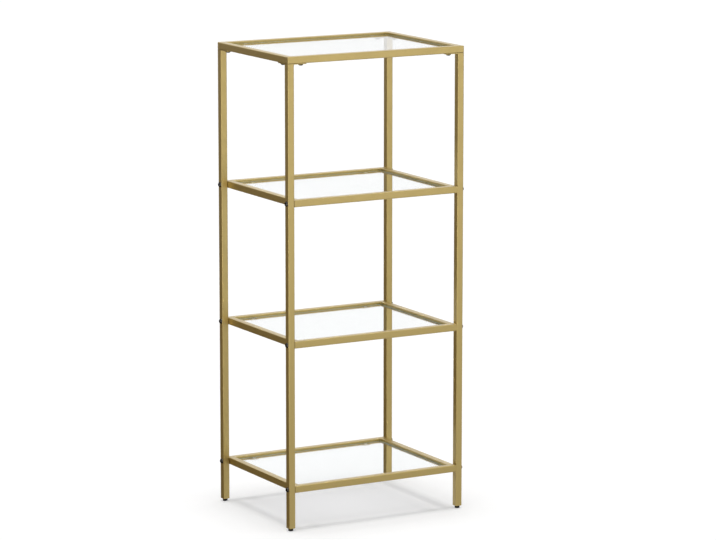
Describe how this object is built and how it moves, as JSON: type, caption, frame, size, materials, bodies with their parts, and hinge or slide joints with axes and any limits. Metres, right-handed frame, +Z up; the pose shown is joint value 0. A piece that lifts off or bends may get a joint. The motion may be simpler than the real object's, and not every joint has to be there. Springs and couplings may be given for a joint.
{
  "type": "etagere",
  "caption": "Open etagere of slim gold square steel tube with clear glass shelves set into bolted rectangular frames, on small levelling feet.",
  "frame": {"origin": "on the floor, under the middle of the footprint", "axes": "+X to the right along the width, +Y to the back along the depth, +Z up"},
  "size_m": [0.4066, 0.3, 0.95],
  "materials": {
    "frame_gold": "satin champagne gold powder coat",
    "clear_glass": "clear toughened glass with polished edges",
    "clear_pad": "clear soft silicone",
    "bolt_black": "dark oxide",
    "zinc_steel": "zinc plated",
    "foot_black": "moulded nylon"
  },
  "bodies": {
    "frame": {"front_left_post": "frame_gold", "front_left_plate": "frame_gold", "front_left_foot_insert": "foot_black", "front_right_post": "frame_gold", "front_right_plate": "frame_gold", "front_right_foot_insert": "foot_black", "back_right_post": "frame_gold", "back_right_plate": "frame_gold", "back_right_foot_insert": "foot_black", "back_left_post": "frame_gold", "back_left_plate": "frame_gold", "back_left_foot_insert": "foot_black", "top_front_rail": "frame_gold", "top_right_rail": "frame_gold", "top_back_rail": "frame_gold", "top_left_rail": "frame_gold", "top_glass_tabs": "frame_gold", "top_glass_pads": "clear_pad", "top_frame_screws": "bolt_black", "top_frame_nuts": "zinc_steel", "upper_front_rail": "frame_gold", "upper_right_rail": "frame_gold", "upper_back_rail": "frame_gold", "upper_left_rail": "frame_gold", "upper_glass_tabs": "frame_gold", "upper_glass_pads": "clear_pad", "upper_frame_bolts": "bolt_black", "upper_rail_plugs": "zinc_steel", "middle_front_rail": "frame_gold", "middle_right_rail": "frame_gold", "middle_back_rail": "frame_gold", "middle_left_rail": "frame_gold", "middle_glass_tabs": "frame_gold", "middle_glass_pads": "clear_pad", "middle_frame_bolts": "bolt_black", "middle_rail_plugs": "zinc_steel", "lower_front_rail": "frame_gold", "lower_right_rail": "frame_gold", "lower_back_rail": "frame_gold", "lower_left_rail": "frame_gold", "lower_glass_tabs": "frame_gold", "lower_glass_pads": "clear_pad", "lower_frame_bolts": "bolt_black", "lower_rail_plugs": "zinc_steel"},
    "top_pane": {"top_glass": "clear_glass"},
    "upper_pane": {"upper_glass": "clear_glass"},
    "middle_pane": {"middle_glass": "clear_glass"},
    "lower_pane": {"lower_glass": "clear_glass"},
    "front_left_foot": {"front_left_foot_stud": "zinc_steel", "front_left_foot_base": "foot_black"},
    "front_right_foot": {"front_right_foot_stud": "zinc_steel", "front_right_foot_base": "foot_black"},
    "back_right_foot": {"back_right_foot_stud": "zinc_steel", "back_right_foot_base": "foot_black"},
    "back_left_foot": {"back_left_foot_stud": "zinc_steel", "back_left_foot_base": "foot_black"}
  },
  "joints": [
    {"name": "top_pane_lift", "type": "slide", "parent": "frame", "child": "top_pane", "axis": [0, 0, 1], "range_m": [0, 0.06]},
    {"name": "upper_pane_lift", "type": "slide", "parent": "frame", "child": "upper_pane", "axis": [0, 0, 1], "range_m": [0, 0.06]},
    {"name": "middle_pane_lift", "type": "slide", "parent": "frame", "child": "middle_pane", "axis": [0, 0, 1], "range_m": [0, 0.06]},
    {"name": "lower_pane_lift", "type": "slide", "parent": "frame", "child": "lower_pane", "axis": [0, 0, 1], "range_m": [0, 0.06]},
    {"name": "front_left_foot_screw", "type": "slide", "parent": "frame", "child": "front_left_foot", "axis": [0, 0, -1], "range_m": [0, 0.01]},
    {"name": "front_right_foot_screw", "type": "slide", "parent": "frame", "child": "front_right_foot", "axis": [0, 0, -1], "range_m": [0, 0.01]},
    {"name": "back_right_foot_screw", "type": "slide", "parent": "frame", "child": "back_right_foot", "axis": [0, 0, -1], "range_m": [0, 0.01]},
    {"name": "back_left_foot_screw", "type": "slide", "parent": "frame", "child": "back_left_foot", "axis": [0, 0, -1], "range_m": [0, 0.01]}
  ]
}
